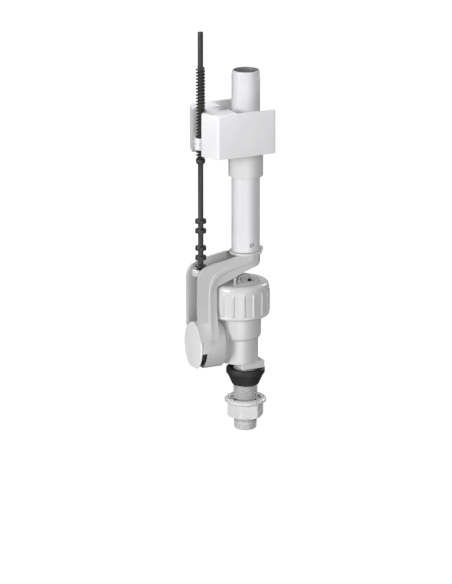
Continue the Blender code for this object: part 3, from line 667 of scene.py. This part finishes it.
def outlet_end_cap():
    left, right = CAP_LOW[0], HOUSING_LEFT - 0.3
    rim = oval(HOUSING_HALF_Y - 0.2, HOUSING_UP - 0.2, HOUSING_DOWN - 0.2, HOUSING_Z)
    cap = prism("end_cap", rim, left, right, "X", 1.2, 6)
    plug = oval(HOUSING_HALF_Y - 2.4, HOUSING_UP - 2.4, HOUSING_DOWN - 2.4, HOUSING_Z)
    join(cap, prism("plug", plug, left + 1, CAP_HIGH[0], "X"))
    hollow = oval(HOUSING_HALF_Y - 4, HOUSING_UP - 4, HOUSING_DOWN - 4, HOUSING_Z)
    cut(cap,
        prism("hollow", hollow, left + 2, CAP_HIGH[0] + 2, "X"),
        box("outlet", (right, *OUTLET_LOW[1:]), OUTLET_HIGH))
    return dress(smooth(cap, 32), CAP_WHITE, BODY, "white_plastic", "outlet_end_cap")


TUBE_BORE_R, TUBE_SKIN_R = 10.5, TUBE_R - 0.12
STRIP_ANGLES = [math.radians(160 + 5 * i) for i in range(14)]


def guide_tube():
    """A pipe with a lead-in at its top, and a raised strip down its left side that starts a little higher."""
    low, top = TUBE_LOW[2], TUBE_HIGH[2]
    profile = [(TUBE_BORE_R, top), (11.5, top), (11.6, top - 6.4), (TUBE_SKIN_R, top - 6.8),
               (TUBE_SKIN_R, low), (TUBE_BORE_R, low)]
    tube = lathe("guide_tube_pipe", soften(profile, 0.3, 3), sides=128)
    strip = [(TUBE_R * math.cos(a), TUBE_R * math.sin(a)) for a in STRIP_ANGLES]
    strip += [(11.0 * math.cos(a), 11.0 * math.sin(a)) for a in reversed(STRIP_ANGLES)]
    join(tube, prism("strip", strip, low + 1, top - 2.6, "Z", 0.05, 1))
    cut(tube, bar("hole", 1.9, -20, -5, (0, 0, PEG_Z), "Y", 32, 0))
    return dress(smooth(tube, 32), TUBE_WHITE, BODY, "tube_plastic", "guide_tube")


# ---- valve head and lever -------------------------------------------------------------------------
PIVOT = (BODY_X, 0, 107.4)
PILOT_X = 1.5


def valve_head():
    top = 104.5
    profile = [(0, top), (16.7, top), (16.7, 98.5), (21.7, 98.5), (21.7, 92.1), (15, 92.1), (15, 98),
               (0, 98)]
    head = lathe("valve_head_cover", soften(profile, 0.35, 2, closed=False), (BODY_X, 0, 0), 96, False)
    lug = [(PIVOT[0] - 4.2, top - 1), (PIVOT[0] + 4.2, top - 1)] + arc((PIVOT[0], PIVOT[2]), 3.2, 0, 180, 20)
    join(head,
         prism("lug_near", lug, -6.6, -4.4, "Y", 0.25, 2),
         prism("lug_far", lug, 4.4, 6.6, "Y", 0.25, 2))
    gable = [(-5.6, top - 1), (-6.4, 108.2), (-3.0, 112.4), (-1.0, 111.2), (-0.8, top - 1)]
    join(head,
         prism("gable", soften(gable, 0.5, 3), -5.6, -4.6, "Y", 0.2, 2),
         box("peg", (-16.6, -11.6, top - 1), (-14.6, -10.0, top + 5.6), 0.4, 2))
    cut(head,
        box("hub_room", (PIVOT[0] - 4.6, -4.1, 103.2), (PIVOT[0] + 3.6, 4.1, top + 1)),
        bar("eye", 1.5, -12, 12, PIVOT, "Y", 32, 0),
        bar("well", 4.2, 101.2, top + 1, (PILOT_X, 0, 0), round_size=0),
        bar("pilot", 0.8, 97, 102, (PILOT_X, 0, 0), sides=24, round_size=0),
        lathe("groove", [(1.25, -5.6), (2.1, -5.6), (2.1, -7.5), (1.25, -7.5)], PIVOT, 40, True, axis="Y"),
        box("recess", (-0.4, -7.6, top - 3.2), (5.4, -3.2, top + 1), 0.8, 3))
    return dress(smooth(head, 32), WHITE, BODY, "white_plastic", "valve_head")


def lever_arm():
    tip_low, tip_top = 113.4, 118.7
    px, pz = PIVOT[0], PIVOT[2]
    side = [(px - 2, pz - 1.6), (px + 1, pz - 1.8), (PILOT_X + 2.2, pz - 1.8), (PILOT_X + 2.2, pz + 1.4),
            (px + 1, pz + 2.2), (px - 6, pz + 3.2), (ROD_X + 5.5, tip_top - 0.6),
            (ROD_X + 5.5, tip_low + 0.6)]
    lever = prism("lever", soften(side, 0.5, 2), -2.8, 2.8, "Y", 0.4, 2)
    rim = tip_top + 1.0
    tip = [(0, tip_top - 0.2), (4.6, tip_top), (6.2, rim), (7.8, rim - 1.0), (7.8, tip_low), (0, tip_low)]
    knob = lathe("knob", soften(tip, 1.6, 6, closed=False), (ROD_X, 0, 0), 64, False)
    join(lever, bar("hub", 3.0, -3.9, 3.9, PIVOT, "Y", 48), knob)
    slot = arc((ROD_X + 1.9, 0), 2.6, -90, 90, 10) + arc((ROD_X - 1.9, 0), 2.6, 90, 270, 10)
    cut(lever, bar("bore", 1.5, -6, 6, PIVOT, "Y", 32, 0), prism("slot", slot, tip_low - 2, tip_top + 2, "Z"))
    lever.name = "lever_arm_body"
    return dress(smooth(lever, 32), WHITE, LEVER, "white_plastic", "lever_arm")


def lever_pin():
    pin = bar("lever_pin_body", 1.2, -7.0, 7.0, PIVOT, "Y", 32, 0.3)
    return dress(pin, WHITE, BODY, "white_plastic", "lever_pin")


# ---- float ----------------------------------------------------------------------------------------
SLOT_HALF_Y, SLOT_END, SLOT_TOP_END, SLOT_TOP_Z = 8.6, -34.6, -38.2, 236.0
WELL_LEFT, WELL_FLOOR = -20.3, 245.0
POCKET_LEFT, POCKET_HALF_Y, POCKET_FLOOR = -29.0, 7.8, 238.0
PLATE_FRONT, PLATE_LOW, PLATE_HIGH, PLATE_HOLE_R = -46.1, 228.0, 229.0, 5.0


def float_plan(inset=0.0):
    half, right = FLOAT_HIGH[1] - inset, FLOAT_HIGH[0] - inset
    shoulder, nose = -39.5 + inset * 0.6, FLOAT_LOW[0] + inset
    return [(right, -half), (right, half), (shoulder, half), (nose, SLOT_HALF_Y + inset * 0.6),
            (nose, -SLOT_HALF_Y - inset * 0.6), (shoulder, -half)]


def float_box():
    low, top, wall, past = FLOAT_LOW[2], FLOAT_HIGH[2], 2.0, 60
    shell = prism("float", soften(float_plan(), 2.0, 5), low, top, "Z")
    bm = bmesh.new()
    bm.from_mesh(shell.data)
    bm.normal_update()
    tops = [e for e in bm.edges if all(v.co.z > (top - 0.1) * MM for v in e.verts)
            and all(v.co.x < -37 * MM for v in e.verts) and len(e.link_faces) == 2]
    bmesh.ops.bevel(bm, geom=tops, offset=2.0 * MM, segments=5, profile=0.5, affect="EDGES")
    bm.to_mesh(shell.data)
    bm.free()
    room = prism("room", float_plan(wall), low - 2, top - wall, "Z")
    slot_wall, pocket_wall = SLOT_HALF_Y + wall, POCKET_HALF_Y + wall
    cut(room,
        box("slot_wall", (-past, -slot_wall, 200), (SLOT_END + wall, slot_wall, 270)),
        box("pocket_wall", (POCKET_LEFT - wall, -pocket_wall, POCKET_FLOOR - wall),
            (WELL_LEFT, pocket_wall, 270)),
        box("well_wall", (WELL_LEFT - wall, -40, WELL_FLOOR - wall), (past, 40, 270)))
    inner = FLOAT_HIGH[1] - wall
    cut(shell,
        room,
        box("well", (WELL_LEFT, -inner, WELL_FLOOR), (past, inner, 270)),
        box("pocket", (POCKET_LEFT, -POCKET_HALF_Y, POCKET_FLOOR), (WELL_LEFT + 1, POCKET_HALF_Y, 270)),
        box("slot", (-past, -SLOT_HALF_Y, 200), (SLOT_END, SLOT_HALF_Y, SLOT_TOP_Z)),
        box("slot_top", (-past, -SLOT_HALF_Y, SLOT_TOP_Z - 1), (SLOT_TOP_END, SLOT_HALF_Y, 270)),
        bar("tube_hole", 15.0, 200, 270, sides=96, round_size=0))
    round_edges(shell, 0.45, 3, 40, lambda c: c.z > WELL_FLOOR + 1 or c.z < low + 0.1)
    plate = box("plate", (PLATE_FRONT, -slot_wall + 1, PLATE_LOW), (SLOT_END + 1, slot_wall - 1, PLATE_HIGH))
    cut(plate, bar("plate_hole", PLATE_HOLE_R, PLATE_LOW - 2, PLATE_HIGH + 2, (ROD_X, 0, 0), round_size=0))
    join(shell, plate)
    shell.name = "float_box_shell"
    return dress(smooth(shell, 32), FLOAT_WHITE, FLOAT, "float_plastic", "float_box")


SLIT_ANGLE = math.radians(-41.1)


def float_sleeve():
    low, top = SLEEVE_LOW[2], SLEEVE_HIGH[2]
    collar = WELL_FLOOR + 0.3
    profile = [(12.6, top), (16.7, top), (16.7, collar), (14.7, collar), (14.7, low), (12.6, low)]
    sleeve = lathe("float_sleeve_pipe", soften(profile, 0.35, 3), sides=112)
    slit = box("slit", (-0.4, -16, FLOAT_LOW[2] - 4.2), (0.4, -13.7, FLOAT_LOW[2] + 2))
    slit.matrix_world = Matrix.Rotation(SLIT_ANGLE, 4, "Z")
    cut(sleeve,
        box("side", (10, -30, collar - 0.1), (30, 30, 270)),
        slit)
    return dress(smooth(sleeve, 32), SLEEVE_WHITE, FLOAT, "float_plastic", "float_sleeve")


def adjuster_nut():
    low, top, outer, neck = ADJ_LOW[2], ADJ_HIGH[2], (ADJ_HIGH[0] - ADJ_LOW[0]) / 2, 4.7
    profile = [(outer, top), (outer, PLATE_HIGH + 0.3), (neck, PLATE_HIGH + 0.3), (neck, PLATE_LOW - 0.3),
               (outer, PLATE_LOW - 0.3), (outer, low), (4.2, low), (4.2, top)]
    nut = lathe("adjuster_nut_body", soften(profile, 0.35, 3), (ROD_X, 0, 0), 64)
    return dress(nut, FLOAT_WHITE, ADJUSTER, "float_plastic", "adjuster_nut")


COLLAR_HALF = 1.65
COLLAR_HEIGHTS = (161.1, 152.7, 137.6, 129.2)


def float_rod():
    core, crest, collar_r = 2.25, 3.9, (ROD_HIGH[0] - ROD_LOW[0]) / 2
    thread_low, thread_high, pitch = 214.6, 295.0, 2.72
    profile = [(0, ROD_HIGH[2]), (core, ROD_HIGH[2]), (core, thread_low + 0.6), (crest, thread_low + 0.6),
               (crest, 212.4), (core + 0.8, 211.0), (core, 211.0)]
    for height in COLLAR_HEIGHTS:
        above, below = height + COLLAR_HALF, height - COLLAR_HALF
        profile += [(core, above), (collar_r, above), (collar_r, below), (core, below)]
    profile += [(core, 123.4), (collar_r, 122.6), (collar_r, 121.4), (2.4, 119.4), (1.75, 119.2),
                (1.75, 112.3), (3.3, 111.7), (3.3, 109.4), (1.75, ROD_LOW[2]), (0, ROD_LOW[2])]
    stem = lathe("float_rod_stem", soften(profile, 0.35, 3, closed=False), (ROD_X, 0, 0), 48, False)
    screw = thread("screw", core + 0.05, crest, pitch, thread_low, thread_high, (ROD_X, 0, 0), 40, 14, 0.32)
    join(stem, screw)
    return dress(smooth(stem, 30), BLACK, ROD, "black_plastic", "float_rod")


# ---- CAD nodes that stay --------------------------------------------------------------------------
KEPT = {
    "inlet_filter": GREY, "flow_restrictor": ORANGE, "outlet_baffle": GREY, "port_seal": RUBBER,
    "clamp_washer": GREY, "diaphragm": RUBBER, "diaphragm_core": BLUE, "metering_pin": STEEL,
    "pilot_seal": RUBBER,
}


def finish_kept_nodes():
    for node, material in KEPT.items():
        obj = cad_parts[node]
        for place in obj.material_slots:
            place.material = material


# ---- stage ----------------------------------------------------------------------------------------
WORLD_STRENGTH = 0.1
KEY, FILL, RIM = 2.5, 1.0, 1.25
LIGHTS = (("key", -75, 10, KEY, 25), ("front", 0, 20, FILL, 25), ("table", -15, -30, FILL, 40),
          ("overhead", 0, 90, FILL, 30), ("back", 180, 45, RIM, 30), ("right", 110, 30, RIM, 30))
STUDIO_SIZE, FLOOR_GAP = 6.0, 0.4


def towards(azimuth, elevation):
    """The direction from the object to a camera or light, angles in degrees."""
    turn, rise = math.radians(azimuth), math.radians(elevation)
    return Vector((math.sin(turn) * math.cos(rise), -math.cos(turn) * math.cos(rise), math.sin(rise)))


def lit_white(name):
    """An evenly lit white surface, as a light table and its backdrop look."""
    material, _, shader = new_material(name)
    shader.inputs["Base Color"].default_value = (0, 0, 0, 1)
    shader.inputs["Specular IOR Level"].default_value = 0.0
    shader.inputs["Emission Color"].default_value = (1, 1, 1, 1)
    shader.inputs["Emission Strength"].default_value = 1.05
    return material


def stage():
    white = lit_white("studio_white")
    bm = bmesh.new()
    bmesh.ops.create_circle(bm, cap_ends=True, segments=64, radius=STUDIO_SIZE)
    floor = from_bmesh("floor", bm, (0, 0, CAD_LOW[2] / MM - FLOOR_GAP))
    bm = bmesh.new()
    bmesh.ops.create_uvsphere(bm, u_segments=64, v_segments=32, radius=STUDIO_SIZE)
    below = [v for v in bm.verts if v.co.z < -0.01]
    bmesh.ops.delete(bm, geom=below, context="VERTS")
    backdrop = from_bmesh("backdrop", bm, (0, 0, CAD_LOW[2] / MM - FLOOR_GAP))
    for piece in (floor, backdrop):
        piece.data.materials.append(white)
        piece.visible_diffuse = False
        piece.visible_glossy = False
        piece.visible_shadow = False
    world = bpy.data.worlds.new("studio")
    bpy.context.scene.world = world
    world.use_nodes = True
    back = world.node_tree.nodes["Background"]
    back.inputs["Color"].default_value = (1, 1, 1, 1)
    back.inputs["Strength"].default_value = WORLD_STRENGTH
    for name, azimuth, elevation, energy, softness in LIGHTS:
        lamp = bpy.data.lights.new(name, "SUN")
        lamp.energy = energy
        lamp.angle = math.radians(softness)
        light = bpy.data.objects.new(name, lamp)
        bpy.context.scene.collection.objects.link(light)
        light.rotation_euler = towards(azimuth, elevation).to_track_quat("Z", "Y").to_euler()
    bpy.context.scene.view_settings.view_transform = "Standard"


AZIMUTH, ELEVATION = -27.0, 16.3
TARGET = Vector((-18.25, 0.88, 95.4)) * MM
DISTANCE = 3.4
LENS = 246.6


def camera():
    data = bpy.data.cameras.new("camera")
    data.lens = LENS
    data.clip_end = 50
    obj = bpy.data.objects.new("camera", data)
    bpy.context.scene.collection.objects.link(obj)
    away = towards(AZIMUTH, ELEVATION)
    obj.location = TARGET + away * DISTANCE
    obj.rotation_euler = away.to_track_quat("Z", "Y").to_euler()
    bpy.context.scene.camera = obj


union_ring()
flange_nut()
cone_seal()
valve_body()
inlet_shank()
bracket()
outlet_end_cap()
guide_tube()
valve_head()
lever_arm()
lever_pin()
float_box()
float_sleeve()
adjuster_nut()
float_rod()
finish_kept_nodes()
stage()
camera()
